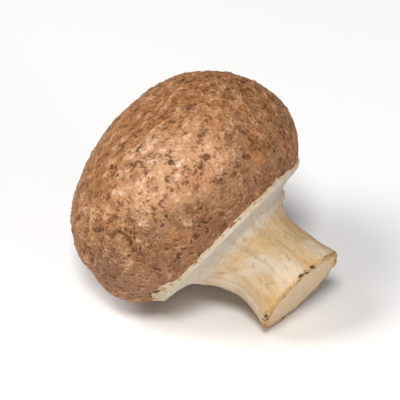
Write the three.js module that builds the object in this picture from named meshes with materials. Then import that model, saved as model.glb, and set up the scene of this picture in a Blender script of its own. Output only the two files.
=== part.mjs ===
// One brown button mushroom, picked and trimmed, lying on its side.
// It is made upright first, with its stem's axis on Z and the cut end at Z = 0, and then laid
// down so that the edge of the cap and the cut edge of the stem rest on the table.
// All lengths are in millimetres and all angles are in degrees.
import * as THREE from "three";
import { ImprovedNoise } from "three/addons/math/ImprovedNoise.js";
import { mergeVertices } from "three/addons/utils/BufferGeometryUtils.js";

// Cap: the domed brown top, widest at its equator, curling in below it to the margin
const CAP_RADIUS = 22;
const CROWN_HEIGHT = 17.8;
const CROWN_FULLNESS = 1.08;
const MARGIN_DROP = 10.4;
const MARGIN_RADIUS = 16.6;
const UNDERCURL_CENTRE = 11.6;
const LIP_THICKNESS = 1.1;
const FLESH_RISE = 1.9;
const UNDERSIDE_RADII = [14, 11.5, 9.5, 5, 0];

// Stem: a stout trimmed stalk with a waist, flaring again where it meets the veil
const STEM_LENGTH = 15.5;
const CUT_RADIUS = 8.8;
const WAIST_RADIUS = 8.0;
const WAIST_HEIGHT = 7.2;
const NECK_RADIUS = 9.5;
const NECK_HEIGHT = 12.5;
const CUT_BEVEL = 0.5;
const FLARE = 0.4;
// Rings of the cut face and of the hidden top, as shares of their radius
const CUT_SHARES = [0, 0.4, 0.75, 1];
const TOP_SHARES = [1, 0.5, 0];

// Veil: the closed white skin from the cap's margin to the stem's neck
const VEIL_EDGE = 0.6;
const VEIL_EDGE_RADIUS = 15.6;
const VEIL_HEM = 0.4;
// Its underside between neck and edge: [distance from the axis, height over its lowest place]
const VEIL_SWEEP = [
  [11.3, 1.6],
  [13.9, 2.4],
];
const VEIL_TOP_RADII = [14.6, 13, 11.5];

// Gap that parts lying face to face keep
const GAP = 0.3;

// The cap sits askew and off centre on its stem, lower on one side, and the cut is a little slanted.
// The side is an angle round the axis, seen in plan on the upright mushroom.
const ASKEW_SLOPE = 0.11;
const ASKEW_SIDE = -43;
const CAP_OFFSET_Y = -2.4;
const CUT_SLOPE = 0.09;
const BEND_START = 5;
const BEND_END = 15;

// Slow swellings of the cap's outline: [waves round the axis, height in mm, side in degrees]
const SWELLINGS = [
  [2, 0.35, 20],
  [3, 0.22, -75],
  [5, 0.16, 40],
];

// Low relief of the cap's skin, of the stem's fibres and of the veil's torn edge
const SCALE_SIZE = 3.4;
const SCALE_DEPTH = 0.9;
const SCALE_SOFTNESS = 0.1;
const SCALE_MIDDLE = 0.25;
const LUMP_SIZE = 13;
const LUMP_DEPTH = 0.7;
const RELIEF_START = 0.6;
const RELIEF_FULL = 4;
const CALM_POLE = [1.5, 7];
const FIBRE_COUNT = 17;
const FIBRE_DEPTH = 0.13;
const FIBRE_TWIST = 0.25;
const FIBRE_FADE = 3;
const BULGE_SIZE = 9;
const BULGE_DEPTH = 0.45;
const CUT_WAVE = 5;
const CUT_WAVE_DEPTH = 0.18;
const TEAR_DEPTH = 0.4;
const TEAR_REACH = 2.5;
const TEAR_WAVES = 3;
const TEETH = 19;
const TOOTH_SHARE = 0.4;
const FOLDS = 23;
const FOLD_DEPTH = 0.16;
const FOLD_START = NECK_RADIUS + 1;
const FOLD_FULL = VEIL_EDGE_RADIUS - 2;

// How it lies: the stem points down towards +X, and both resting places are pressed a little flat
const LEAN = 30.5;
const PRESSED = 0.8;

// Faces round the axis, and steps along the curves of the outlines
const CAP_SIDES = 108;
const STEM_SIDES = 60;
const VEIL_SIDES = 84;
const CROWN_STEPS = 24;
const UNDERCURL_STEPS = 8;
const LIP_STEPS = 4;
const STEM_STEPS = 12;
const SWEEP_STEPS = 10;

const MARGIN_HEIGHT = STEM_LENGTH;
const EQUATOR_HEIGHT = MARGIN_HEIGHT + MARGIN_DROP;
const noise = new ImprovedNoise();
const { smoothstep, lerp, degToRad: radians, radToDeg: degrees } = THREE.MathUtils;

// Height of the cap's underside at a distance from the axis
function fleshHeight(radius) {
  const rim = MARGIN_HEIGHT + LIP_THICKNESS * 0.5;
  return rim + FLESH_RISE * (1 - smoothstep(radius, NECK_RADIUS, MARGIN_RADIUS));
}

// Points of a part ellipse, from one angle to another
function arc(centreRadius, centreHeight, wide, high, from, to, steps) {
  return Array.from({ length: steps + 1 }, (_, i) => {
    const angle = radians(lerp(from, to, i / steps));
    return new THREE.Vector2(centreRadius + wide * Math.cos(angle), centreHeight + high * Math.sin(angle));
  });
}

// The crown is a little fuller than an ellipse
function crownArc(steps) {
  return arc(0, 0, 1, 1, 90, 0, steps).map(({ x, y }) => {
    const radius = CAP_RADIUS * x ** (1 / CROWN_FULLNESS);
    return new THREE.Vector2(radius, EQUATOR_HEIGHT + CROWN_HEIGHT * Math.max(y, 0) ** (1 / CROWN_FULLNESS));
  });
}

// Cap outline from the middle of the underside, out round the margin's lip and the equator, to the crown.
// The lip is a half-round edge that leaves the undercurl without a corner.
function capOutline() {
  const wide = CAP_RADIUS - UNDERCURL_CENTRE;
  const turn = Math.acos((MARGIN_RADIUS - UNDERCURL_CENTRE) / wide);
  const high = MARGIN_DROP / Math.sin(turn);
  const undercurl = arc(UNDERCURL_CENTRE, EQUATOR_HEIGHT, wide, high, 0, -degrees(turn), UNDERCURL_STEPS);
  const facing = Math.atan2(wide * Math.sin(turn), high * Math.cos(turn));
  const lipRadius = LIP_THICKNESS / 2;
  const lipX = MARGIN_RADIUS - lipRadius * Math.cos(facing);
  const lipY = MARGIN_HEIGHT + lipRadius * Math.sin(facing);
  const lip = arc(lipX, lipY, lipRadius, lipRadius, -degrees(facing), -180, LIP_STEPS);
  const underside = UNDERSIDE_RADII.map((r) => new THREE.Vector2(r, fleshHeight(r)));
  return [...crownArc(CROWN_STEPS), ...undercurl.slice(1), ...lip.slice(1), ...underside].reverse();
}

// Stem outline from the middle of the cut face, up the side, to the middle of its hidden top
function stemOutline() {
  const side = new THREE.SplineCurve([
    new THREE.Vector2(CUT_RADIUS, CUT_BEVEL),
    new THREE.Vector2(lerp(WAIST_RADIUS, CUT_RADIUS, FLARE), WAIST_HEIGHT / 2),
    new THREE.Vector2(WAIST_RADIUS, WAIST_HEIGHT),
    new THREE.Vector2(lerp(WAIST_RADIUS, NECK_RADIUS, FLARE), lerp(NECK_HEIGHT, WAIST_HEIGHT, FLARE)),
    new THREE.Vector2(NECK_RADIUS, NECK_HEIGHT),
  ]).getPoints(STEM_STEPS);
  const cut = CUT_SHARES.map((share) => new THREE.Vector2(share * (CUT_RADIUS - CUT_BEVEL), 0));
  const top = TOP_SHARES.map((share) => {
    const radius = share * NECK_RADIUS;
    return new THREE.Vector2(radius, fleshHeight(radius) - GAP);
  });
  return [...cut, ...side, ...top];
}

// Veil section, a ring: down the hole round the neck, out along the underside to the torn edge, and back
function veilOutline() {
  const hole = NECK_RADIUS + GAP;
  const lowest = NECK_HEIGHT - VEIL_HEM;
  const edgeTop = MARGIN_HEIGHT - GAP;
  const under = new THREE.SplineCurve([
    new THREE.Vector2(hole, lowest + VEIL_HEM),
    new THREE.Vector2(hole + VEIL_HEM, lowest),
    ...VEIL_SWEEP.map(([radius, rise]) => new THREE.Vector2(radius, lowest + rise)),
    new THREE.Vector2(VEIL_EDGE_RADIUS, edgeTop - VEIL_EDGE),
    new THREE.Vector2(VEIL_EDGE_RADIUS, edgeTop),
  ]).getPoints(SWEEP_STEPS);
  const above = [...VEIL_TOP_RADII, hole].map((r) => new THREE.Vector2(r, fleshHeight(r) - GAP));
  return [...under, ...above, under[0].clone()];
}

// A body of revolution on Z with its doubled seam and pole points joined
function turned(outline, sides) {
  const geometry = new THREE.LatheGeometry(outline, sides).rotateX(Math.PI / 2);
  geometry.deleteAttribute("normal");
  geometry.deleteAttribute("uv");
  return mergeVertices(geometry, 1e-4);
}

// Moves every vertex by a rule on its position
function reshape(geometry, rule) {
  const position = geometry.getAttribute("position");
  const point = new THREE.Vector3();
  for (let i = 0; i < position.count; i++) {
    rule(point.fromBufferAttribute(position, i));
    position.setXYZ(i, point.x, point.y, point.z);
  }
  return geometry;
}

// Swellings, lumps and flattened scales of the cap's skin. They fade out at the margin.
function growSkin(point) {
  const onSkin = smoothstep(point.z, MARGIN_HEIGHT + RELIEF_START, MARGIN_HEIGHT + RELIEF_FULL);
  if (onSkin === 0) return;
  const round = Math.hypot(point.x, point.y);
  const angle = Math.atan2(point.y, point.x);
  const { x, y, z } = point;
  let rise = LUMP_DEPTH * noise.noise(x / LUMP_SIZE, y / LUMP_SIZE, z / LUMP_SIZE);
  for (const [waves, height, side] of SWELLINGS)
    rise += height * Math.cos(waves * (angle - radians(side))) * (round / CAP_RADIUS);
  const ripple = noise.noise(x / SCALE_SIZE, y / SCALE_SIZE, z / SCALE_SIZE);
  rise += SCALE_DEPTH * (Math.hypot(ripple, SCALE_SOFTNESS) - SCALE_MIDDLE) * smoothstep(round, ...CALM_POLE);
  const outward = new THREE.Vector3(x / CAP_RADIUS, y / CAP_RADIUS, (z - EQUATOR_HEIGHT) / CROWN_HEIGHT);
  point.addScaledVector(outward.normalize(), rise * onSkin);
}

// Fibres along the stem, its bulges, and the slightly uneven knife cut
function growFibres(point) {
  const round = Math.hypot(point.x, point.y);
  if (point.z < CUT_BEVEL / 2) {
    point.z += CUT_WAVE_DEPTH * noise.noise(point.x / CUT_WAVE, point.y / CUT_WAVE, 0) * (round / CUT_RADIUS);
    return;
  }
  const angle = Math.atan2(point.y, point.x);
  const free = 1 - smoothstep(point.z, NECK_HEIGHT - FIBRE_FADE, NECK_HEIGHT - CUT_BEVEL);
  const ridges = FIBRE_DEPTH * Math.cos(FIBRE_COUNT * angle + FIBRE_TWIST * point.z);
  const bulge = BULGE_DEPTH * noise.noise(point.x / BULGE_SIZE, point.y / BULGE_SIZE, point.z / BULGE_SIZE);
  const share = 1 + ((ridges + bulge) * free) / Math.max(round, 1);
  point.x *= share;
  point.y *= share;
}

// Ragged outer edge of the veil, and faint folds running out from the stem
function tearEdge(point) {
  const round = Math.hypot(point.x, point.y);
  const angle = Math.atan2(point.y, point.x);
  const outer = smoothstep(round, VEIL_EDGE_RADIUS - TEAR_REACH, VEIL_EDGE_RADIUS);
  const tear = noise.noise(TEAR_WAVES * Math.cos(angle), TEAR_WAVES * Math.sin(angle), 0);
  const share = 1 + (TEAR_DEPTH * (tear + TOOTH_SHARE * Math.cos(TEETH * angle)) * outer) / round;
  point.x *= share;
  point.y *= share;
  const underside = 1 - smoothstep(point.z, NECK_HEIGHT, MARGIN_HEIGHT - GAP);
  const between = smoothstep(round, FOLD_START, FOLD_FULL);
  point.z += FOLD_DEPTH * Math.cos(FOLDS * angle) * underside * between;
}

// The bend shared by all three parts, so that they stay face to face: the cap leans and sits off centre
function bend(point) {
  const towards = point.x * Math.cos(radians(ASKEW_SIDE)) + point.y * Math.sin(radians(ASKEW_SIDE));
  const inCap = smoothstep(point.z, BEND_START, BEND_END);
  const atCut = 1 - smoothstep(point.z, 0, BEND_START);
  point.z += (CUT_SLOPE * atCut - ASKEW_SLOPE * inCap) * towards;
  point.y += CAP_OFFSET_Y * inCap;
}

function part(name, outline, sides, rule, colour, roughness) {
  const geometry = reshape(reshape(turned(outline, sides), rule), bend);
  const material = new THREE.MeshStandardMaterial({ color: colour, roughness, metalness: 0 });
  const mesh = new THREE.Mesh(geometry, material);
  mesh.name = name;
  return mesh;
}

const cap = part("cap", capOutline(), CAP_SIDES, growSkin, 0xa8744c, 0.7);
const veil = part("veil", veilOutline(), VEIL_SIDES, tearEdge, 0xefe8db, 0.75);
const stem = part("stem", stemOutline(), STEM_SIDES, growFibres, 0xead9bb, 0.7);

// Lay the upright mushroom on its side, with the stem towards +X
const lying = new THREE.Group();
lying.add(cap, veil, stem);
lying.rotation.y = radians(LEAN - 90);
lying.updateMatrixWorld(true);

// Press the two resting places flat on the table, whose plane is given in the upright frame
const lowest = new THREE.Box3().setFromObject(lying, true).min.z;
const up = new THREE.Vector3(0, 0, 1).applyQuaternion(lying.quaternion.clone().invert());
const table = new THREE.Plane(up, -(lowest + PRESSED));
for (const mesh of [cap, veil, stem])
  reshape(mesh.geometry, (point) => {
    const height = table.distanceToPoint(point);
    if (height < 0) point.addScaledVector(up, -height);
  });

// The origin is on the table under the middle of the mushroom
const box = new THREE.Box3().setFromObject(lying, true);
const middle = box.getCenter(new THREE.Vector3());
lying.position.set(-middle.x, -middle.y, -box.min.z);

const mushroom = new THREE.Group();
mushroom.add(lying);

export default mushroom;
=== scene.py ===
# One brown button mushroom, picked and trimmed, lying on its side on a pale floor.
# Cap, veil and stem are grown upright in millimetres, with the stem's axis on Z and the cut end
# at Z = 0, from the same named sizes as the solids in the frame. Then they are laid down in place.
import math

import bpy
import numpy as np
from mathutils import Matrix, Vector


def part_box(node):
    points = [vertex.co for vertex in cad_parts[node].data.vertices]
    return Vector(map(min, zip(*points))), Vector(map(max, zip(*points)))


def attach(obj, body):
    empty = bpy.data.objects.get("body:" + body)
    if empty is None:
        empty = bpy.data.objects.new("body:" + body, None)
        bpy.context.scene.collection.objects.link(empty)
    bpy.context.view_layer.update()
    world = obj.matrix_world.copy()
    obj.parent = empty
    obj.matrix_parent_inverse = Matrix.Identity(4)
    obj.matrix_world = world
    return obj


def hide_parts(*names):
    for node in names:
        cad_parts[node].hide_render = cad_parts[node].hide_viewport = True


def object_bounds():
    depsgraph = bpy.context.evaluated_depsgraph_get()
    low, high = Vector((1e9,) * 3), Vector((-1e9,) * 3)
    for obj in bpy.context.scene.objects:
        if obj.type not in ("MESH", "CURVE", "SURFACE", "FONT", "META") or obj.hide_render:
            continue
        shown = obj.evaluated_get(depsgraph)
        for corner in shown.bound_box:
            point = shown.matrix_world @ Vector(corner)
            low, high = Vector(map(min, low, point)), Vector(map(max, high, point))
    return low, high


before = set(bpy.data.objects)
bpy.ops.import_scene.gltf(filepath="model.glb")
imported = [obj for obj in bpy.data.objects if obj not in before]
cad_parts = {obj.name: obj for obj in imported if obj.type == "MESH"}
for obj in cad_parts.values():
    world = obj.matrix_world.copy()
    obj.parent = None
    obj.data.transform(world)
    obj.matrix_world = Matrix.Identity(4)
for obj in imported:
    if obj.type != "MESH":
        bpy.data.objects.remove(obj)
cad_low, cad_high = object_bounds()

MM = 0.001

# Cap
CAP_RADIUS = 22.0
CROWN_HEIGHT = 17.8
CROWN_FULLNESS = 1.08
MARGIN_DROP = 10.4
MARGIN_RADIUS = 16.6
UNDERCURL_CENTRE = 11.6
LIP_THICKNESS = 1.1

# Stem
STEM_LENGTH = 15.5
CUT_RADIUS = 8.8
WAIST_RADIUS = 8.0
WAIST_HEIGHT = 7.2
NECK_RADIUS = 9.5
NECK_HEIGHT = 12.5
CUT_BEVEL = 0.5
FACE_RADIUS = CUT_RADIUS - CUT_BEVEL

# Cracks and soil on the cut: [side in degrees, way out from the cut's middle, half length, half width]
CUT_MARKS = [
    (-30, 8.9, 0.75, 0.40),
    (-24, 8.6, 0.45, 0.30),
    (-14, 8.7, 0.70, 0.30),
    (-98, 8.8, 0.70, 0.50),
    (-106, 8.4, 0.40, 0.35),
    (182, 7.6, 0.55, 0.45),
    (-62, 8.0, 0.35, 0.25),
]
RIM_SPECKS = 70
SOIL_RISE = 0.12

# Relief of the stem's side: lumps [size, height, seed], fibres [waves round, stretch, strength, seed]
STEM_LUMPS = [(9.0, 0.45, 33), (3.0, 0.20, 34), (1.2, 0.05, 38)]
STEM_FIBRES = [(46, 9.0, 1.0, 31), (110, 5.0, 0.6, 32)]
FIBRE_HEIGHT = 0.12
STEM_LEVEL = -0.12

# Relief of the cut face
RING_SPACING = 1.7
RING_HEIGHT = 0.05
CUT_RAYS = [(26, 6.0, 1.0, 39)]
RAY_HEIGHT = 0.06
CUT_ROUGHNESS = 0.10
CUT_HOLLOW_RADIUS = 1.4
CUT_HOLLOW_DEPTH = 0.25
RAGGED_RIM = 0.30

# How the cap sits on the stem, how the cut slants, and how the mushroom lies
ASKEW_SLOPE = 0.11
ASKEW_SIDE = math.radians(-43)
CAP_OFFSET_Y = -2.4
CUT_SLOPE = 0.09
BEND_START = 5.0
BEND_END = 15.0
LEAN = math.radians(30.5)

MARGIN_HEIGHT = STEM_LENGTH
EQUATOR_HEIGHT = MARGIN_HEIGHT + MARGIN_DROP

# Slow swellings of the cap's outline: waves round the axis, height, side in degrees
SWELLINGS = [(2, 0.35, 20), (3, 0.22, -75), (5, 0.16, 40)]

# The swelling that the cap lies on, and how far it reaches
REST_SWELLING = 1.2
REST_REACH = 14.0

# Broad lumps of the cap's form: [size, height, seed]
CAP_LUMPS = [(13.0, 0.55, 1), (5.5, 0.30, 2)]

# Single bulges and hollows of the cap's form: [side in degrees, height over the equator, reach, rise]
BULGES = [(-128, -6.0, 8.0, 0.9), (-134, -10.4, 5.0, -1.1)]

# The skin's own level: its grooves lie below the smooth dome, so that its scales rise just over it
SKIN_LEVEL = -0.62

# Scattered scales: [how many, half length, rise]
SCALES = (3600, 0.7, 0.096)
SCALE_START = 1.0

# Scattered pits: [how many, half length, how far they turn from the way round the axis, in radians]
LARGE_PITS = (1150, 0.56, 0.35)
SMALL_PITS = (4600, 0.29, 0.9)
SHOULDER_PITS = (1000, 0.46, 1.2)
# How far from the crown they start and end
PIT_START = 1.5
LARGE_PITS_END = 31.0
SHOULDER_PITS_START = 20.0

# Depths of the marks in the skin
PIT_DEPTH = 0.36
DENT_LINE_DEPTH = 0.35
DENT_HOLLOW_DEPTH = 0.12
FLECK_RISE = 0.2

# Single pits of the skin: [side in degrees, height over the equator, half length, half width, depth]
PITS = [
    (-38.7, 4.6, 0.80, 0.62, 1.0),
    (-35.8, 2.3, 0.42, 0.32, 0.9),
    (-32.3, 1.2, 0.45, 0.32, 0.9),
    (-45.0, 10.5, 1.05, 0.45, 1.0),
    (-49.8, 13.0, 1.00, 0.42, 0.9),
    (-63.5, 11.5, 0.75, 0.48, 0.9),
    (-62.3, 9.5, 0.70, 0.45, 0.9),
    (-84.2, -6.7, 0.55, 0.42, 1.0),
    (-128.0, -0.9, 0.60, 0.50, 1.0),
    (-89.4, 5.2, 0.50, 0.42, 1.0),
    (7.5, -6.5, 0.55, 0.42, 0.9),
    (-11.0, -2.2, 0.40, 0.32, 0.8),
    (-54.8, -7.8, 0.50, 0.35, 0.9),
    (-43.8, -7.4, 0.42, 0.34, 0.9),
]
# Pale flecks beside them: [side, height over the equator, half length, half width]
FLECKS = [(-37.3, 3.3, 0.70, 0.42), (-43.8, -8.6, 0.42, 0.34)]
# A crescent dent: side, height over the equator and radius
DENT = (-83.7, 1.0, 2.0)
# Patches of the skin: [side, height over the equator, reach]
# Pale patches of painted highlight, which paint the soft lights' broad highlight into the skin's colour
HIGHLIGHT_PATCHES = [(-42, 4.5, 10.5), (-26, 2.5, 7.5), (-60, 3.5, 7.5), (80, 1.0, 9.0), (165, 3.0, 8.0)]
SMOOTH = [(-14, 3.0, 10.0), (-46, -1.0, 6.0), (100, 5.0, 9.0), (-170, 4.0, 8.0)]
# Darker patches of painted shade, which darken the skin's colour where less light should fall
SHADE_PATCHES = [(-104, 0.0, 8.0), (-74, -3.5, 8.5), (-52, -7.5, 7.5), (115, -5.0, 9.0), (-160, -4.0, 9.0)]

# Colours of the cap's skin, as linear red, green and blue
CROWN_BROWN = (0.37, 0.150, 0.049)
SHOULDER_BROWN = (0.335, 0.160, 0.071)
CLOUD_TAN = (0.41, 0.168, 0.057)
MARGIN_BROWN = (0.30, 0.130, 0.054)
# Pale tan of the patches of painted highlight
HIGHLIGHT_TAN = (0.60, 0.32, 0.165)
# Dark brown of the patches of painted shade
SHADE_BROWN = (0.20, 0.094, 0.042)
SMUDGE_BROWN = (0.19, 0.085, 0.034)
# Ridge colour: the scales' own tan, lightened with painted highlight
LIT_RIDGE_TAN = (0.60, 0.345, 0.18)
# Ridge colour inside the patches of painted highlight
HIGHLIGHT_RIDGE_TAN = (0.82, 0.56, 0.38)
# Darker colour where the relief and grain lie low: painted shade in the grooves
GROOVE_SHADE_BROWN = (0.16, 0.060, 0.019)
# Painted highlight on the rims of the pits
PIT_RIM_HIGHLIGHT_TAN = (0.66, 0.40, 0.23)
HOLLOW_BROWN = (0.36, 0.21, 0.10)
DENT_BROWN = (0.085, 0.038, 0.016)
# Painted shade in the pits
PIT_SHADE_BROWN = (0.085, 0.028, 0.010)
FLECK_CREAM = (0.78, 0.58, 0.42)

# Colours of the flesh, as linear red, green and blue
VEIL_WHITE = (0.66, 0.575, 0.48)
VEIL_GREY = (0.54, 0.46, 0.375)
FRILL_CREAM = (0.60, 0.45, 0.29)
FRILL_BROWN = (0.36, 0.20, 0.085)
STEM_CREAM = (0.61, 0.43, 0.245)
STEM_OCHRE = (0.60, 0.34, 0.14)
STEM_PALE = (0.66, 0.54, 0.40)
FIBRE_BROWN = (0.42, 0.28, 0.14)
CUT_STRAW = (0.62, 0.44, 0.25)
CUT_PALE = (0.72, 0.56, 0.38)
CUT_OCHRE = (0.56, 0.36, 0.17)
RIM_OCHRE = (0.46, 0.24, 0.07)
SOIL = (0.085, 0.038, 0.014)

# Grain sizes of the colours and of the relief too fine for the mesh, and that relief's height
CAP_CLOUDS = 8.0
CAP_BLOTCHES = 2.2
CAP_GRAIN = 0.55
CAP_FINEST = 0.28
CAP_BUMP = 0.36
FLESH_CLOUDS = 2.2
FLESH_GRAIN = 0.6
FLESH_FINEST = 0.25
FLESH_BUMP = 0.30
STAIN_SIZE = 1.1
FRILL_SPECK_SIZE = 1.3

# Mesh density: rings in the square patch at a pole, and rings past it, each with 8 points for every
# ring of the patch
CAP_PATCH = 78
CAP_RINGS = 112
# How many of the cap's last rings are hidden inside, and how far from the crown its patch reaches
CAP_HIDDEN_RINGS = 8
CAP_PATCH_REACH = 17.5
STEM_PATCH = 44
STEM_RINGS = 120
# The veil's points round the axis, its rings, and how many of them its inner side has one ring for
VEIL_AROUND = 512
VEIL_RINGS = 84
VEIL_INNER_STEP = 6

# Veil: how far a torn flap may reach up over the cap's edge, how far it stands off, its thickness at its
# edges, and how much thicker it grows between them
FLAP_REACH = 4.5
VEIL_LIFT = 0.08
VEIL_EDGE = 0.06
VEIL_THICKNESS = 0.4
# Torn corners of the veil that stand off it near the neck: [side, way in from the cap's edge, reach]
VEIL_TEETH = [(46, 6.2, 1.3), (112, 6.8, 1.2), (-178, 5.8, 1.4)]
VEIL_TOOTH_RISE = 0.7
# Its way in from the cap's lip to the stem's neck and down it: [radius, drop below the margin]
VEIL_KNOTS = [
    (MARGIN_RADIUS - 0.6, 0.42),
    (14.9, 0.60),
    (13.4, 0.85),
    (11.9, 1.2),
    (10.7, 1.8),
    (9.95, 2.7),
    (9.5, 3.8),
    (9.15, 5.0),
]
# Its folds: [waves round, stretch, height, seed]
VEIL_FOLDS = [(90, 6.0, 0.10, 65), (30, 9.0, 0.10, 66)]
# Stretches where its torn edge lies wider over the cap: side and half width, in degrees
WIDE_NEAR = (42, 30)
WIDE_LOW = (-108, 32)
WIDE_BEHIND = (137, 100)

# Stage: a square floor, the room's light, and soft lights [name, azimuth, elevation, size, power]
FLOOR_HALF = 3.0
FLOOR_GREY = (0.93, 0.925, 0.92)
FLOOR_WHITE = (0.95, 0.945, 0.94)
ROOM_COLOUR = (1.0, 0.985, 0.97, 1)
ROOM_STRENGTH = 0.14
LIGHT_DISTANCE = 1.5
LIGHTS = [
    ("key", -34, 52, 0.6, 11.8),
    ("front", 32, 52, 0.3, 15.0),
    ("side", 75, 18, 0.6, 4.2),
]

# Camera: azimuth, elevation, distance in metres, and how many metres it sees across at that distance
CAMERA_AZIMUTH = 36
CAMERA_ELEVATION = 34
CAMERA_DISTANCE = 0.5
CAMERA_VIEW = 0.068
SENSOR_WIDTH = 36

# Large factors that scatter the lattice cells of the noise
CELL_FACTORS = (73856093, 19349663, 83492791)
SEED_FACTOR = 6542989
SCRAMBLE_FACTOR = 2246822519
NOISE_GAIN = 1.6
OCTAVE_STRENGTH = 0.55


def smoothstep(value, low, high):
    share = np.clip((value - low) / (high - low), 0.0, 1.0)
    return share * share * (3.0 - 2.0 * share)


def hashed(cell, seed):
    """Three numbers from 0 to 1 for every lattice cell, the same on every run."""
    x, y, z = (cell[..., axis].astype(np.int64) * factor for axis, factor in enumerate(CELL_FACTORS))
    mixed = x ^ y ^ z ^ (seed * SEED_FACTOR)
    numbers = []
    for _ in range(3):
        mixed = ((mixed ^ (mixed >> 15)) * SCRAMBLE_FACTOR) & 0xFFFFFFFF
        numbers.append(((mixed >> 7) & 0xFFFF) / 65535.0)
    return np.stack(numbers, axis=-1)


def noise(points, size, seed=0):
    """Smooth gradient noise, about -1 to 1, with features of the given size."""
    place = points / size
    cell = np.floor(place)
    inside = place - cell
    fade = inside * inside * (3.0 - 2.0 * inside)
    total = np.zeros(len(points))
    for corner in np.ndindex(2, 2, 2):
        slope = hashed(cell + corner, seed) * 2.0 - 1.0
        weight = np.prod(np.where(corner, fade, 1.0 - fade), axis=1)
        total += weight * np.sum(slope * (inside - corner), axis=1)
    return total * NOISE_GAIN


def fractal(points, size, octaves, seed=0):
    """Noise in octaves, each half the size and a little over half the strength of the one before."""
    return sum(noise(points, size / 2**k, seed + k) * OCTAVE_STRENGTH**k for k in range(octaves))


def lumpy(points, lumps):
    """Height of lumps that are given as [size, height, seed]."""
    return sum(height * noise(points, size, seed) for size, height, seed in lumps)


def drift(points, strength, size, octaves, seed):
    """Small moves of points by noise, which make the marks laid on them ragged."""
    return np.column_stack([strength * fractal(points, size, octaves, seed + axis) for axis in range(3)])


def arc(centre_radius, centre_height, wide, high, first, last, steps):
    angle = np.radians(np.linspace(first, last, steps + 1))
    return np.column_stack((centre_radius + wide * np.cos(angle), centre_height + high * np.sin(angle)))


def smooth_curve(knots, steps=24):
    """A Catmull-Rom curve through points in the plane of the section."""
    knots = np.asarray(knots, dtype=float)
    ends = np.vstack((2 * knots[0] - knots[1], knots, 2 * knots[-1] - knots[-2]))
    share = np.linspace(0, 1, steps, endpoint=False)[:, None]
    pieces = []
    for a, b, c, d in zip(ends, ends[1:], ends[2:], ends[3:]):
        pieces.append(
            0.5 * (2 * b + (c - a) * share + (2 * a - 5 * b + 4 * c - d) * share**2
                   + (3 * b - a - 3 * c + d) * share**3)
        )
    return np.vstack((*pieces, knots[-1:]))


class Section:
    """A curve in the plane of distance from the axis and height, measured along its length."""

    def __init__(self, outline):
        self.outline = np.asarray(outline, dtype=float)
        steps = np.linalg.norm(np.diff(self.outline, axis=0), axis=1)
        self.lengths = np.concatenate(([0.0], np.cumsum(steps)))
        self.length = self.lengths[-1]

    def at(self, distance):
        radius = np.interp(distance, self.lengths, self.outline[:, 0])
        height = np.interp(distance, self.lengths, self.outline[:, 1])
        return radius, height

    def outward(self, distance):
        """The side on the left of the way along the curve: outward where it runs down the outside."""
        reach = 0.25
        before = np.array(self.at(distance - reach))
        after = np.array(self.at(distance + reach))
        run = after - before
        run /= np.maximum(np.linalg.norm(run, axis=0), 1e-9)
        return -run[1], run[0]

    def spin(self, distance, angle):
        """Points of the turned surface, and the directions square to it."""
        radius, height = self.at(distance)
        out, up = self.outward(distance)
        cos, sin = np.cos(angle), np.sin(angle)
        points = np.stack((radius * cos, radius * sin, height), axis=-1)
        normals = np.stack((out * cos, out * sin, up), axis=-1)
        return points, normals

    def frames(self, distance, angle):
        """Points of the turned surface, and the ways round the axis and on along the curve there."""
        points, normals = self.spin(distance, angle)
        rounds = np.column_stack((-np.sin(angle), np.cos(angle), np.zeros(len(angle))))
        return points, rounds, np.cross(rounds, normals)

    def coarse_points(self, length, rings):
        """Points of the turned surface in rings up to this length, every 3 degrees."""
        angle = np.radians(np.arange(0, 360, 3))
        points, _ = self.spin(np.repeat(np.linspace(0, length, rings), len(angle)), np.tile(angle, rings))
        return points


def dome_layout(patch, rings):
    """Ring number and angle of every point of a dome, and its faces.

    The pole is a square patch, in which ring k has 8k points, so nothing crowds together there.
    Every ring past the patch has 8 * patch points. A single face closes the last ring.
    """
    around = 8 * patch
    i, j = np.meshgrid(np.arange(-patch, patch + 1), np.arange(-patch, patch + 1), indexing="ij")
    ring = np.maximum(abs(i), abs(j))
    place = np.select([i == ring, j == ring, i == -ring], [j, 2 * ring - i, 4 * ring - j], 6 * ring + i)
    angle = 2 * np.pi * place / (8 * np.maximum(ring, 1))
    index = np.arange(i.size).reshape(i.shape)
    corners = (index[:-1, :-1], index[1:, :-1], index[1:, 1:], index[:-1, 1:])
    faces = [np.stack(corners, axis=-1).reshape(-1, 4)]
    edge = np.flatnonzero(ring.ravel() == patch)
    inner = edge[np.argsort(place.ravel()[edge] % around)]
    all_rings, all_angles = [ring.ravel()], [angle.ravel()]
    count = i.size
    for number in range(patch + 1, rings + 1):
        outer = count + np.arange(around)
        count += around
        faces.append(np.stack((inner, outer, np.roll(outer, -1), np.roll(inner, -1)), axis=-1))
        all_rings.append(np.full(around, number))
        all_angles.append(2 * np.pi * np.arange(around) / around)
        inner = outer
    faces = [face.tolist() for face in np.vstack(faces)] + [inner[::-1].tolist()]
    return np.concatenate(all_rings), np.concatenate(all_angles), faces


def bend(points):
    """The bend shared by all pieces: the cap leans and sits off centre, and the cut slants."""
    x, y, z = points.T
    towards = x * math.cos(ASKEW_SIDE) + y * math.sin(ASKEW_SIDE)
    in_cap = smoothstep(z, BEND_START, BEND_END)
    at_cut = 1.0 - smoothstep(z, 0.0, BEND_START)
    return np.column_stack((
        x,
        y + CAP_OFFSET_Y * in_cap,
        z + (CUT_SLOPE * at_cut - ASKEW_SLOPE * in_cap) * towards,
    ))


def turn_down(points):
    """Turns the upright mushroom onto its side, with the stem pointing down towards +X."""
    x, y, z = points.T
    sin, cos = math.sin(LEAN), math.cos(LEAN)
    return np.column_stack((sin * x - cos * z, y, cos * x + sin * z))


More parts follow.
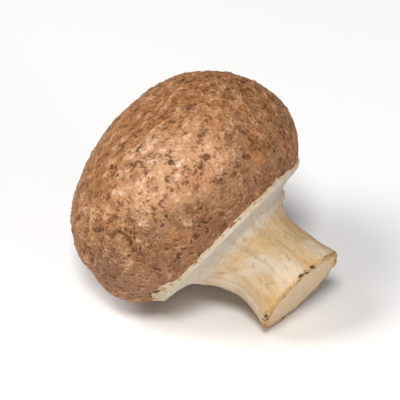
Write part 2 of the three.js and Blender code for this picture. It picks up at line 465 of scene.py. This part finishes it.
def resting_place():
    """Where the upright frame's origin lies, found by setting the smooth stem in its solid's box."""
    section = stem_section()
    laid = turn_down(bend(section.coarse_points(section.length, 60)))
    low, high = (np.array(corner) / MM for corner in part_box("stem"))
    place = (low + high) / 2 - (laid.min(axis=0) + laid.max(axis=0)) / 2
    place[2] = high[2] - laid[:, 2].max()
    return place


def lay_down(points):
    """Bends, turns and moves points into the frame, and presses what would sink into the floor flat."""
    laid = turn_down(bend(points)) + resting_place()
    laid[:, 2] = np.maximum(laid[:, 2], 0.0)
    return laid * MM


def make_piece(name, points, faces, upright, masks, material, node):
    """Lays an upright piece down as a smooth mesh that stands for a CAD node, with its material's masks."""
    mesh = bpy.data.meshes.new(name)
    mesh.from_pydata(lay_down(points).tolist(), [], faces)
    mesh.validate()
    mesh.attributes.new("upright", "FLOAT_VECTOR", "POINT").data.foreach_set("vector", upright.ravel())
    for mask_name, values in masks.items():
        mesh.attributes.new(mask_name, "FLOAT", "POINT").data.foreach_set("value", values.astype(float))
    mesh.shade_smooth()
    mesh.materials.append(material)
    piece = bpy.data.objects.new(name, mesh)
    bpy.context.collection.objects.link(piece)
    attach(piece, "root")
    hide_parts(node)


def cap_section():
    """From the crown, over the equator and under to the margin's lip, and in along the underside."""
    superellipse = arc(0, 0, 1, 1, 90, 0, 300).clip(0) ** (1 / CROWN_FULLNESS)
    crown = superellipse * (CAP_RADIUS, CROWN_HEIGHT) + (0, EQUATOR_HEIGHT)
    wide = CAP_RADIUS - UNDERCURL_CENTRE
    turn = math.acos((MARGIN_RADIUS - UNDERCURL_CENTRE) / wide)
    high = MARGIN_DROP / math.sin(turn)
    undercurl = arc(UNDERCURL_CENTRE, EQUATOR_HEIGHT, wide, high, 0, -math.degrees(turn), 120)
    facing = math.atan2(wide * math.sin(turn), high * math.cos(turn))
    lip_radius = LIP_THICKNESS / 2
    centre_radius = MARGIN_RADIUS - lip_radius * math.cos(facing)
    centre_height = MARGIN_HEIGHT + lip_radius * math.sin(facing)
    lip = arc(centre_radius, centre_height, lip_radius, lip_radius, -math.degrees(facing), -180, 24)
    underside = [(14, MARGIN_HEIGHT + 0.9), (10, MARGIN_HEIGHT + 2), (4, MARGIN_HEIGHT + 2)]
    skin = np.vstack((crown, undercurl[1:]))
    return Section(np.vstack((skin, lip[1:], underside))), Section(skin).length


def scattered(rng, section, first, last, count):
    """Random places, even over the cap's area: points, and the ways round and down there."""
    distance = rng.uniform(first, last, count * 4)
    radius, _ = section.at(distance)
    kept = rng.uniform(0, CAP_RADIUS, len(distance)) < radius
    distance = distance[kept][:count]
    return section.frames(distance, rng.uniform(0, 2 * np.pi, len(distance)))


def press_marks(points, frames, wide, tall, turn, profile):
    """A layer with an oval mark at each frame. The highest mark wins where several overlap."""
    layer = np.zeros(len(points))
    centres, rounds, downs = frames
    order = np.argsort(points[:, 2])
    heights = points[order, 2]
    for spot in range(len(centres)):
        reach = max(wide[spot], tall[spot])
        first, last = np.searchsorted(heights, (centres[spot, 2] - reach, centres[spot, 2] + reach))
        level = order[first:last]
        near = level[np.abs(points[level, :2] - centres[spot, :2]).max(axis=1) < reach]
        away = points[near] - centres[spot]
        across, along = away @ rounds[spot], away @ downs[spot]
        cos, sin = math.cos(turn[spot]), math.sin(turn[spot])
        over = (across * cos + along * sin) / wide[spot]
        down = (along * cos - across * sin) / tall[spot]
        layer[near] = np.maximum(layer[near], profile(spot, over, down))
    return layer


def frayed_oval(over, down, softness):
    return 1.0 - smoothstep(np.hypot(over, down), 1.0 - softness, 1.0)


def lay_scales(rng, section, points, first, last, count, size, rise):
    """Flattened scales that lift towards the margin and end there in a small step."""
    frames = scattered(rng, section, first, last, count)
    number = len(frames[0])
    wide = size * rng.uniform(0.6, 1.5, number)
    tall = wide * rng.uniform(0.4, 0.8, number)
    turn = rng.normal(0, 0.35, number)
    lift = rise * rng.uniform(0.4, 1.0, number)

    def profile(spot, over, down):
        return lift[spot] * frayed_oval(over, down, 0.3) * (0.35 + 0.65 * smoothstep(down, -1.0, 0.6))

    return press_marks(points, frames, wide, tall, turn, profile)


def cut_pits(rng, section, points, first, last, count, size, slant):
    """Small holes between the scales, which the cap's material darkens with painted shade, longest round the
    axis where the slant is small.
    """
    frames = scattered(rng, section, first, last, count)
    number = len(frames[0])
    wide = size * rng.uniform(0.6, 1.5, number)
    tall = wide * rng.uniform(0.3, 0.75, number)
    turn = rng.normal(0, slant, number)
    depth = rng.uniform(0.45, 1.0, number)

    def profile(spot, over, down):
        return depth[spot] * frayed_oval(over, down, 0.6)

    return press_marks(points, frames, wide, tall, turn, profile)


def spot_frames(section, spots):
    """Points of the smooth skin at each side and height over the equator, and the ways round and down."""
    side, above = np.array([spot[:2] for spot in spots], dtype=float).T
    heights = section.outline[:, 1]
    skin = np.flatnonzero(np.diff(heights, append=-1) < 0)
    distance = np.interp(-(EQUATOR_HEIGHT + above), -heights[skin], section.lengths[skin])
    return section.frames(distance, np.radians(side))


def named_marks(section, points, marks, softness):
    """A layer with an oval for each named mark."""
    wide, tall = np.array([mark[2:4] for mark in marks]).T
    strength = [mark[4] if len(mark) > 4 else 1.0 for mark in marks]

    def profile(spot, over, down):
        return strength[spot] * frayed_oval(over, down, softness)

    return press_marks(points, spot_frames(section, marks), wide, tall, np.zeros(len(marks)), profile)


def dent_lines(section, points):
    """The dark curved line of the dent, and how far each point lies inside it."""
    (centre,), (around,), (down,) = spot_frames(section, [DENT])
    radius = DENT[2]
    away = points - centre
    across, along = away @ around, away @ down
    reach = np.hypot(across, along) / radius
    near = np.linalg.norm(away, axis=1) < 2 * radius
    open_side = smoothstep(across / np.maximum(np.hypot(across, along), 0.1), -0.1, 0.7)
    line = np.exp(-((reach - 1.0) / 0.17) ** 2) * open_side * near
    return line, (1.0 - smoothstep(reach, 0.5, 1.0)) * near


def patch_share(section, points, patches):
    """How far each point lies inside the patches, which have soft uneven edges."""
    centres, _, _ = spot_frames(section, patches)
    share = np.zeros(len(points))
    for centre, (_, _, reach) in zip(centres, patches):
        away = np.linalg.norm(points - centre, axis=1) + 2.5 * noise(points, 4.0, 81)
        share = np.maximum(share, 1.0 - smoothstep(away, 0.15 * reach, reach))
    return share


def resting_spot():
    """The lowest point of the smooth cap as it lies, in the upright frame."""
    section, skin_length = cap_section()
    points = section.coarse_points(skin_length, 120)
    return points[turn_down(bend(points))[:, 2].argmin()]


def skin_form(points):
    """The skin's level over the smooth dome, with its broad lumps and swellings, and the one it lies on."""
    x, y, _ = points.T
    angle = np.arctan2(y, x)
    form = SKIN_LEVEL + lumpy(points, CAP_LUMPS)
    for waves, swell, side in SWELLINGS:
        form += swell * np.cos(waves * (angle - math.radians(side))) * np.hypot(x, y) / CAP_RADIUS
    away = np.linalg.norm(points - resting_spot(), axis=1)
    form += REST_SWELLING * (1.0 - smoothstep(away, 2.0, REST_REACH))
    centres, _, _ = spot_frames(cap_section()[0], BULGES)
    for centre, (_, _, reach, rise) in zip(centres, BULGES):
        form += rise * (1.0 - smoothstep(np.linalg.norm(points - centre, axis=1), 0.0, reach))
    return form


def skin_share(past_end):
    """How much of the skin's relief is left this far before the skin's end at the cap's margin."""
    return smoothstep(past_end, -1.0, 1.2)


def cap_pits(rng, section, skin_length, points, warp, craggy, distance):
    """Depth of the pits from 0 to 1: clustered large ones, small ones all over, and the single ones."""
    warped = points + warp
    torn_round = warped + drift(points, 0.3, 0.55, 1, 24)
    off_pole = smoothstep(distance + 2.0 * noise(points, 5.0, 17), 5.0, 15.0)
    clusters = 0.35 + 0.65 * smoothstep(noise(points, 4.5, 18), -0.35, 0.35)
    share = (0.4 + 0.45 * craggy) * (0.4 + 0.6 * off_pole) * clusters
    large = cut_pits(rng, section, torn_round, PIT_START, LARGE_PITS_END, *LARGE_PITS)
    small = cut_pits(rng, section, warped, PIT_START, skin_length, *SMALL_PITS)
    shoulder = cut_pits(rng, section, torn_round, SHOULDER_PITS_START, skin_length, *SHOULDER_PITS)
    pits = np.maximum(share * large, 0.9 * np.maximum(small, shoulder))
    pits *= 1.0 - 0.6 * patch_share(section, points, SMOOTH)
    return np.maximum(pits, named_marks(section, points + 0.3 * warp, PITS, 0.5))


def cap_relief(section, skin_length, points, distance):
    """Height of the cap's skin above the smooth dome, and the masks that colour it.

    The crown side is craggy, with ridges and pits that run round the axis. Towards the margin it calms down.
    """
    rng = np.random.default_rng(7)
    on_skin = smoothstep(skin_length - distance, 0.0, 2.5)
    warp = drift(points, 0.5, 1.3, 2, 20)
    warped = points + warp
    round_axis = np.column_stack((warped[:, 0] / 2.3, warped[:, 1] / 2.3, distance + warp[:, 2]))
    down_cap = np.column_stack((warped[:, 0], warped[:, 1], distance / 3.0))
    craggy = 1.0 - smoothstep(distance / skin_length + 0.14 * noise(points, 7.0, 14), 0.48, 0.88)
    scales = lay_scales(rng, section, warped, SCALE_START, skin_length, *SCALES) * (0.4 + 0.6 * craggy)
    pits = cap_pits(rng, section, skin_length, points, warp, craggy, distance)
    dent, hollow = dent_lines(section, points + 0.5 * warp)
    flecks = named_marks(section, points + 0.3 * warp, FLECKS, 0.6)
    crags = 0.15 * fractal(round_axis, 1.25, 3, 9) + 0.18 * (0.3 - np.abs(noise(round_axis, 0.95, 12)))
    calm = 0.08 * fractal(warped, 1.6, 3, 15)
    fine = scales + crags * (0.65 + 0.35 * craggy) + calm + FLECK_RISE * flecks
    marks = fine - PIT_DEPTH * pits - DENT_LINE_DEPTH * dent - DENT_HOLLOW_DEPTH * hollow
    height = skin_form(points) + marks * (0.35 + 0.65 * on_skin)
    masks = {
        "fine": fine,
        "pits": pits,
        "dent": dent,
        "hollow": hollow,
        "flecks": flecks,
        # Patches of painted highlight
        "painted_highlight": patch_share(section, points, HIGHLIGHT_PATCHES),
        # Patches of painted shade
        "painted_shade": patch_share(section, points, SHADE_PATCHES),
        "smudge": fractal(down_cap, 1.1, 3, 16),
    }
    return height * skin_share(skin_length - distance), masks


def build_cap():
    section, skin_length = cap_section()
    ring, angle, faces = dome_layout(CAP_PATCH, CAP_PATCH + CAP_RINGS)
    last = CAP_PATCH + CAP_RINGS
    ring_ends = [0, CAP_PATCH, last - CAP_HIDDEN_RINGS, last]
    distance = np.interp(ring, ring_ends, [0, CAP_PATCH_REACH, skin_length + 1.2, section.length])
    points, normals = section.spin(distance, angle)
    height, masks = cap_relief(section, skin_length, points, distance)
    masks["way"] = distance / skin_length
    grown = points + normals * height[:, None]
    make_piece("cap_body", grown, faces, points, masks, cap_material(), "cap")


def stem_section():
    """From the middle of the cut face, round its edge and up the side to the hidden top."""
    side = smooth_curve([
        (CUT_RADIUS, CUT_BEVEL),
        (CUT_RADIUS * 0.4 + WAIST_RADIUS * 0.6, WAIST_HEIGHT * 0.45),
        (WAIST_RADIUS, WAIST_HEIGHT),
        (WAIST_RADIUS * 0.6 + NECK_RADIUS * 0.4, WAIST_HEIGHT * 0.35 + NECK_HEIGHT * 0.65),
        (NECK_RADIUS, NECK_HEIGHT),
        (NECK_RADIUS, MARGIN_HEIGHT + 0.6),
    ])
    rim = arc(FACE_RADIUS, CUT_BEVEL, CUT_BEVEL, CUT_BEVEL, -90, 0, 8)
    return Section(np.vstack(([(0, 0)], rim[:-1], side)))


def ring_points(angle, waves, along=0.0):
    """Places for noise that runs round the axis in so many waves and changes slowly along it."""
    reach = waves / (2 * np.pi)
    return np.column_stack((np.cos(angle) * reach, np.sin(angle) * reach, np.full(len(angle), along)))


def streaky(angle, along, streaks):
    """Noise in streaks along a piece, given as [waves round the axis, stretch, strength, seed]."""
    return sum(
        strength * noise(ring_points(angle, waves, along / stretch), 1.0, seed)
        for waves, stretch, strength, seed in streaks
    )


def long_streaks(angle, height):
    """Streaks that run on from the veil down the stem."""
    return fractal(ring_points(angle, 11, height / 11.0), 1.0, 3, 40)


def stem_relief(points, angle, distance):
    """Height of the stem's skin and cut face above the smooth stalk, and the masks that colour it."""
    x, y, z = points.T
    out = np.hypot(x, y)
    on_side = smoothstep(distance, FACE_RADIUS + 0.3, FACE_RADIUS + 1.2)
    fibres = streaky(angle, z, STEM_FIBRES)
    side = lumpy(points, STEM_LUMPS) + FIBRE_HEIGHT * fibres
    edge = np.exp(-((distance - FACE_RADIUS - 0.3) / 0.5) ** 2)
    ragged = RAGGED_RIM * fractal(points, 1.8, 2, 35) * edge
    rings = np.cos(2 * np.pi * out / RING_SPACING + 2.0 * noise(points, 4.0, 36))
    rays = streaky(angle, out, CUT_RAYS) * smoothstep(out, 1.0, 4.0)
    hollow = np.exp(-(out / CUT_HOLLOW_RADIUS) ** 2)
    face = RING_HEIGHT * rings + RAY_HEIGHT * rays + CUT_ROUGHNESS * fractal(points, 2.2, 3, 37)
    face -= CUT_HOLLOW_DEPTH * hollow
    height = on_side * side + (1.0 - on_side) * face + ragged
    masks = {
        "fibres": fibres,
        "streaks": long_streaks(angle, z),
        "on_side": on_side,
        "rim": edge,
        "rings": rings,
        "rays": rays,
        "way_out": out / CUT_RADIUS,
    }
    return height + STEM_LEVEL * on_side, masks


def soil_marks(points):
    """Dark cracks in the cut's edge and crumbs of soil, at their own places and scattered round the rim."""
    rng = np.random.default_rng(11)
    rim_marks = []
    for _ in range(RIM_SPECKS):
        side = rng.uniform(0, 360)
        way_out = FACE_RADIUS + rng.normal(0.2, 0.5)
        rim_marks.append((side, way_out, rng.uniform(0.10, 0.32), rng.uniform(0.08, 0.2)))
    side, way_out, wide, tall = np.array(CUT_MARKS + rim_marks).T
    frames = stem_section().frames(way_out, np.radians(side))
    ragged = points + drift(points, 0.25, 0.7, 2, 70)
    turn = rng.uniform(-0.6, 0.6, len(side))

    def profile(_, over, down):
        return frayed_oval(over, down, 0.5)

    return press_marks(ragged, frames, wide, tall, turn, profile)


def build_stem():
    section = stem_section()
    ring, angle, faces = dome_layout(STEM_PATCH, STEM_PATCH + STEM_RINGS)
    last = STEM_PATCH + STEM_RINGS
    distance = np.interp(ring, [0, STEM_PATCH, last], [0, FACE_RADIUS - 0.4, section.length])
    points, inward = section.spin(distance, angle)
    height, masks = stem_relief(points, angle, distance)
    masks["soil"] = soil_marks(points)
    masks["down"] = MARGIN_HEIGHT - points[:, 2]
    grown = points - inward * (height + SOIL_RISE * masks["soil"])[:, None]
    faces = [face[::-1] for face in faces]
    flesh = flesh_material("stem_flesh")
    make_piece("stem_stalk", grown, faces, points, masks, flesh, "stem")


def veil_section():
    """From up the outside of the cap's edge, round its lip, in to the neck and down the stem."""
    cap, skin_length = cap_section()
    outside = skin_length - np.array([FLAP_REACH + 1.0, 4.0, 3.0, 2.0, 1.0, 0.2])
    points, normals = cap.spin(outside, np.zeros(len(outside)))
    lifted = (points + VEIL_LIFT * normals)[:, [0, 2]]
    knots = [(radius, MARGIN_HEIGHT - drop) for radius, drop in VEIL_KNOTS]
    section = Section(smooth_curve([*lifted, *knots]))
    lip = section.lengths[np.argmin(np.abs(section.outline - lifted[-1]).sum(axis=1))]
    return section, lip


def bump_at(angle, centre, half_width):
    """1 at an angle round the axis, falling smoothly to 0 past the half width, in degrees."""
    away = np.abs((angle - math.radians(centre) + np.pi) % (2 * np.pi) - np.pi)
    return 1.0 - smoothstep(away, 0.0, math.radians(half_width))


def flap_widths(angle):
    """How far the torn veil still lies over the cap's edge, all round."""
    fringe = fractal(ring_points(angle, 60), 1.0, 3, 51)
    slow = noise(ring_points(angle, 22), 1.0, 58)
    torn = noise(ring_points(angle, 9), 1.0, 54)
    width = 0.10 + 0.35 * fringe + 0.35 * slow + 0.9 * bump_at(angle, *WIDE_NEAR)
    width += (1.5 + 1.5 * fringe) * bump_at(angle, *WIDE_LOW)
    width += 2.8 * bump_at(angle, *WIDE_BEHIND) * smoothstep(torn + 0.25 * fringe, 0.0, 0.5)
    return np.clip(width, 0.1, FLAP_REACH)


def torn_teeth(section, lip, points):
    """1 on the torn corners near the neck, falling to 0 round them."""
    side, past, reach = np.array(VEIL_TEETH, dtype=float).T
    centres, _ = section.spin(lip + past, np.radians(side))
    away = [np.linalg.norm(points - centre, axis=1) / wide for centre, wide in zip(centres, reach)]
    return 1.0 - smoothstep(np.min(away, axis=0) + 0.3 * noise(points, 0.7, 68), 0.3, 1.0)


def veil_relief(section, lip, points, share, angle, distance):
    """Height of the veil over its smooth section, and the masks that colour it.

    The share runs from 0 at the torn edge on the cap to 1 at its end on the neck.
    """
    lumps = 0.12 * fractal(points, 3.2, 3, 61) + 0.28 * noise(points, 8.0, 64)
    folds = streaky(angle, distance, VEIL_FOLDS)
    inside = smoothstep(distance - lip, 0.3, 3.0)
    height = (lumps + folds) * inside * smoothstep(1 - share, 0.0, 0.15)
    height -= 0.45 * smoothstep(share, 0.93, 1.0) + 0.15 * inside
    height += skin_form(points) * skin_share(lip + 0.2 - distance)
    height += 0.18 * fractal(points, 1.6, 2, 67) * smoothstep(lip - distance, -1.0, 0.5)
    height += VEIL_TOOTH_RISE * torn_teeth(section, lip, points)
    over_skin = smoothstep(lip - distance, -0.35, 0.25)
    masks = {
        "down": MARGIN_HEIGHT - points[:, 2],
        "on_side": np.ones(len(points)),
        "fibres": folds * 6,
        "streaks": long_streaks(angle, points[:, 2]),
        "frill": np.maximum(over_skin, 1.0 - smoothstep(share, 0.03, 0.09)),
    }
    return height, masks


def build_veil():
    """The veil's rings run in along its outer side, and back along the inner one, which has fewer."""
    section, lip = veil_section()
    around = 2 * np.pi * np.arange(VEIL_AROUND) / VEIL_AROUND
    shares = np.linspace(0, 1, VEIL_RINGS)
    ring = np.concatenate((shares, shares[::-VEIL_INNER_STEP]))
    first = lip - flap_widths(around)
    neck = section.length - 1.5 + 0.7 * fractal(ring_points(around, 14), 1.0, 3, 57)
    distance = (first + (neck - first) * ring[:, None]).ravel()
    angle = np.tile(around, len(ring))
    share = np.repeat(ring, VEIL_AROUND)
    points, normals = section.spin(distance, angle)
    height, masks = veil_relief(section, lip, points, share, angle, distance)
    inner = np.arange(len(points)) >= len(shares) * VEIL_AROUND
    thickness = VEIL_EDGE + VEIL_THICKNESS * smoothstep(np.minimum(share, 1 - share), 0.0, 0.12)
    grown = points + normals * np.where(inner, height - thickness, height)[:, None]
    index = np.arange(len(points)).reshape(len(ring), VEIL_AROUND)
    below = np.roll(index, -1, axis=0)
    faces = np.stack((index, below, np.roll(below, -1, axis=1), np.roll(index, -1, axis=1)), axis=-1)
    faces = faces.reshape(-1, 4).tolist()
    make_piece("veil_membrane", grown, faces, points, masks, flesh_material("veil_skin"), "veil")


def add(tree, kind, inputs=(), **settings):
    """A shader node with its settings, its inputs set to values or linked to other nodes' outputs."""
    node = tree.nodes.new("ShaderNode" + kind)
    for setting, value in settings.items():
        setattr(node, setting, value)
    for socket, value in dict(inputs).items():
        if isinstance(value, bpy.types.NodeSocket):
            tree.links.new(value, node.inputs[socket])
        else:
            node.inputs[socket].default_value = value
    return node


def mask(tree, name):
    return add(tree, "Attribute", attribute_name=name).outputs["Fac"]


def grain(tree, place, size, detail=3.0):
    """Noise with grains of this many millimetres on the upright mushroom."""
    return add(tree, "TexNoise", {"Vector": place, "Scale": 1 / size, "Detail": detail}).outputs["Fac"]


def span(tree, value, low, high, to_low=0.0, to_high=1.0):
    """Reads a value as a share from low to high, smoothly."""
    inputs = {"Value": value, "From Min": low, "From Max": high, "To Min": to_low, "To Max": to_high}
    return add(tree, "MapRange", inputs, interpolation_type="SMOOTHSTEP").outputs["Result"]


def blend(tree, share, colour_a, colour_b):
    """Colour a turning into colour b with the share. Colours are linear red, green and blue."""
    ends = [(*colour, 1.0) if isinstance(colour, tuple) else colour for colour in (colour_a, colour_b)]
    return add(tree, "Mix", {0: share, 6: ends[0], 7: ends[1]}, data_type="RGBA").outputs[2]


def layered(tree, colour, layers):
    """Lays colours over the first one in turn, each by its own share."""
    for share, over in layers:
        colour = blend(tree, share, colour, over)
    return colour


def sums(tree, *terms):
    """Adds outputs, each times its factor."""
    total = 0.0
    for output, factor in terms:
        total = add(tree, "Math", {0: output, 1: factor, 2: total}, operation="MULTIPLY_ADD").outputs[0]
    return total


def product(tree, a, b):
    return add(tree, "Math", {0: a, 1: b}, operation="MULTIPLY").outputs[0]


def new_material(name):
    material = bpy.data.materials.new(name)
    material.use_nodes = True
    tree = material.node_tree
    return material, tree, tree.nodes["Principled BSDF"]


def finish_shader(tree, shader, colour, roughness, height, height_mm):
    """Links the colour, the roughness and a relief in millimetres too fine for the mesh."""
    tree.links.new(colour, shader.inputs["Base Color"])
    tree.links.new(roughness, shader.inputs["Roughness"])
    bump = add(tree, "Bump", {"Height": height, "Distance": height_mm * MM, "Strength": 1.0})
    tree.links.new(bump.outputs["Normal"], shader.inputs["Normal"])


def cap_material():
    """Matte brown skin: tan flakes with painted highlight on them and on the holes' rims, over grooves and
    holes darkened with painted shade, and pale patches of painted highlight and darker patches of painted
    shade.
    """
    material, tree, shader = new_material("cap_skin")
    place = add(tree, "Attribute", attribute_name="upright").outputs["Vector"]
    way, fine, pits, smudge = (mask(tree, name) for name in ("way", "fine", "pits", "smudge"))
    # Masks of the patches of painted highlight and of painted shade
    painted_highlight, painted_shade = mask(tree, "painted_highlight"), mask(tree, "painted_shade")
    clouds = grain(tree, place, CAP_CLOUDS, 2.0)
    blotches = grain(tree, place, CAP_BLOTCHES, 4.0)
    small = grain(tree, place, CAP_GRAIN)
    smudged = product(tree, span(tree, smudge, 0.0, 0.7), span(tree, way, 0.30, 0.75, 0.2, 0.8))
    level = sums(tree, (fine, 4.6), (blotches, 0.4), (small, 1.6))
    # Ridge colour with painted highlight, and the rims of the pits, where highlight is painted
    lit_ridge = blend(tree, painted_highlight, LIT_RIDGE_TAN, HIGHLIGHT_RIDGE_TAN)
    highlit_pit_rim = product(tree, span(tree, pits, 0.0, 0.10), span(tree, pits, 0.35, 0.12))
    colour = layered(tree, CROWN_BROWN, [
        (span(tree, way, 0.5, 0.85), SHOULDER_BROWN),
        (span(tree, clouds, 0.46, 0.62), CLOUD_TAN),
        (span(tree, way, 0.88, 1.0), MARGIN_BROWN),
        # Pale patches of painted highlight
        (product(tree, painted_highlight, 0.95), HIGHLIGHT_TAN),
        # Darker patches of painted shade
        (product(tree, painted_shade, 0.65), SHADE_BROWN),
        (smudged, SMUDGE_BROWN),
        # Relief painted into the colour: highlight on the ridges, shade in the grooves, highlight on the
        # pits' rims
        (product(tree, span(tree, level, 1.20, 2.0), 0.95), lit_ridge),
        (span(tree, level, 1.05, 0.45), GROOVE_SHADE_BROWN),
        (product(tree, highlit_pit_rim, 0.25), PIT_RIM_HIGHLIGHT_TAN),
        (product(tree, mask(tree, "hollow"), 0.5), HOLLOW_BROWN),
        (product(tree, mask(tree, "dent"), 0.95), DENT_BROWN),
        # Painted shade in the pits
        (product(tree, span(tree, pits, 0.15, 0.9), 0.88), PIT_SHADE_BROWN),
        (span(tree, mask(tree, "flecks"), 0.3, 0.9), FLECK_CREAM),
    ])
    height = sums(tree, (small, 1.0), (grain(tree, place, CAP_FINEST, 2.0), 0.6), (blotches, 0.8))
    shader.inputs["Specular IOR Level"].default_value = 0.3
    finish_shader(tree, shader, colour, span(tree, level, 0.8, 1.8, 0.66, 0.50), height, CAP_BUMP)
    return material


def skin_colour(tree, place, cloudy, fine):
    """The veil's white, the stem's cream below it, and ochre, pale and brown streaks along the stem."""
    down, streaks = mask(tree, "down"), mask(tree, "streaks")
    whiteness = span(tree, sums(tree, (cloudy, 0.7), (fine, 0.3)), 0.33, 0.67)
    ochre = product(tree, span(tree, streaks, 0.0, 0.55), span(tree, down, 3.0, 7.0))
    pale = product(tree, span(tree, streaks, -0.1, -0.6), span(tree, down, 2.0, 6.0))
    fibrous = span(tree, sums(tree, (mask(tree, "fibres"), 0.5), (cloudy, 1.0)), 0.4, 1.0)
    stain = product(tree, span(tree, grain(tree, place, STAIN_SIZE), 0.60, 0.70), span(tree, down, 0.5, 2.0))
    return layered(tree, VEIL_GREY, [
        (whiteness, VEIL_WHITE),
        (span(tree, down, 1.2, 4.5), STEM_CREAM),
        (product(tree, ochre, 0.8), STEM_OCHRE),
        (product(tree, pale, 0.9), STEM_PALE),
        (product(tree, fibrous, 0.45), FIBRE_BROWN),
        (product(tree, stain, 0.6), FIBRE_BROWN),
    ])


def cut_colour(tree, cloudy, fine):
    """The knife's cut: straw, with faint rings, darker rays, and stained near its edge."""
    ringed = sums(tree, (mask(tree, "rings"), 0.035), (cloudy, 0.6), (fine, 0.4))
    stained = product(tree, span(tree, mask(tree, "way_out"), 0.70, 0.98), span(tree, cloudy, 0.25, 0.65))
    return layered(tree, CUT_STRAW, [
        (span(tree, ringed, 0.28, 0.72), CUT_PALE),
        (product(tree, span(tree, mask(tree, "rays"), 0.0, 0.9), 0.5), CUT_OCHRE),
        (product(tree, stained, 0.6), RIM_OCHRE),
    ])


def flesh_material(name):
    """White to cream flesh of the veil and the stem, with its cut face, frayed edge and soil."""
    material, tree, shader = new_material(name)
    place = add(tree, "Attribute", attribute_name="upright").outputs["Vector"]
    cloudy = grain(tree, place, FLESH_CLOUDS, 4.0)
    fine = grain(tree, place, FLESH_GRAIN)
    skin = skin_colour(tree, place, cloudy, fine)
    colour = blend(tree, mask(tree, "on_side"), cut_colour(tree, cloudy, fine), skin)
    rim = product(tree, span(tree, mask(tree, "rim"), 0.15, 0.8), span(tree, fine, 0.32, 0.55))
    frill = mask(tree, "frill")
    speck = product(tree, frill, span(tree, grain(tree, place, FRILL_SPECK_SIZE), 0.50, 0.62))
    colour = layered(tree, colour, [
        (product(tree, rim, 0.8), RIM_OCHRE),
        (span(tree, frill, 0.2, 0.8), FRILL_CREAM),
        (product(tree, speck, 0.75), FRILL_BROWN),
        (span(tree, mask(tree, "soil"), 0.2, 0.7), SOIL),
    ])
    height = sums(tree, (fine, 1.0), (grain(tree, place, FLESH_FINEST, 2.0), 0.4), (cloudy, 0.8))
    shader.inputs["Specular IOR Level"].default_value = 0.4
    shader.inputs["Subsurface Weight"].default_value = 0.12
    shader.inputs["Subsurface Scale"].default_value = 1.2 * MM
    shader.inputs["Subsurface Radius"].default_value = (1.0, 0.6, 0.35)
    finish_shader(tree, shader, colour, span(tree, cloudy, 0.3, 0.7, 0.6, 0.8), height, FLESH_BUMP)
    return material


def floor_material():
    """A plain pale board, with the faintest mottling."""
    material, tree, shader = new_material("pale_floor")
    place = add(tree, "TexCoord").outputs["Object"]
    tone = add(tree, "TexNoise", {"Vector": place, "Scale": 4.0}).outputs["Fac"]
    tree.links.new(blend(tree, tone, FLOOR_GREY, FLOOR_WHITE), shader.inputs["Base Color"])
    shader.inputs["Roughness"].default_value = 0.9
    return material


def build_stage():
    """A plain pale floor, the room's own even light and three soft lights."""
    mesh = bpy.data.meshes.new("floor")
    corners = [(-FLOOR_HALF, -FLOOR_HALF, 0), (FLOOR_HALF, -FLOOR_HALF, 0)]
    corners += [(FLOOR_HALF, FLOOR_HALF, 0), (-FLOOR_HALF, FLOOR_HALF, 0)]
    mesh.from_pydata(corners, [], [(0, 1, 2, 3)])
    floor = bpy.data.objects.new("floor", mesh)
    bpy.context.collection.objects.link(floor)
    mesh.materials.append(floor_material())
    world = bpy.data.worlds.new("soft_room")
    world.use_nodes = True
    background = world.node_tree.nodes["Background"]
    background.inputs["Color"].default_value = ROOM_COLOUR
    background.inputs["Strength"].default_value = ROOM_STRENGTH
    bpy.context.scene.world = world
    for light in LIGHTS:
        add_light(*light)


def from_angle(azimuth, elevation):
    """Direction from the mushroom towards a viewer. Azimuth 0 looks along +Y and 90 along -X, in degrees."""
    a, e = math.radians(azimuth), math.radians(elevation)
    return Vector((math.sin(a) * math.cos(e), -math.cos(a) * math.cos(e), math.sin(e)))


def add_light(name, azimuth, elevation, size, power):
    light = bpy.data.lights.new(name, "AREA")
    light.size = size
    light.energy = power
    lamp = bpy.data.objects.new(name, light)
    direction = from_angle(azimuth, elevation)
    lamp.location = direction * LIGHT_DISTANCE
    lamp.rotation_euler = direction.to_track_quat("Z", "Y").to_euler()
    bpy.context.collection.objects.link(lamp)


def build_camera():
    """Looks at the middle of the frame from the photo's viewing angle."""
    camera = bpy.data.objects.new("camera", bpy.data.cameras.new("camera"))
    bpy.context.collection.objects.link(camera)
    direction = from_angle(CAMERA_AZIMUTH, CAMERA_ELEVATION)
    camera.location = (cad_low + cad_high) / 2 + direction * CAMERA_DISTANCE
    camera.rotation_euler = direction.to_track_quat("Z", "Y").to_euler()
    camera.data.sensor_width = SENSOR_WIDTH
    camera.data.lens = SENSOR_WIDTH * CAMERA_DISTANCE / CAMERA_VIEW
    camera.data.clip_start = 0.01
    bpy.context.scene.camera = camera


build_camera()
bpy.context.scene.view_settings.view_transform = "Standard"
build_stem()
build_veil()
build_cap()
build_stage()
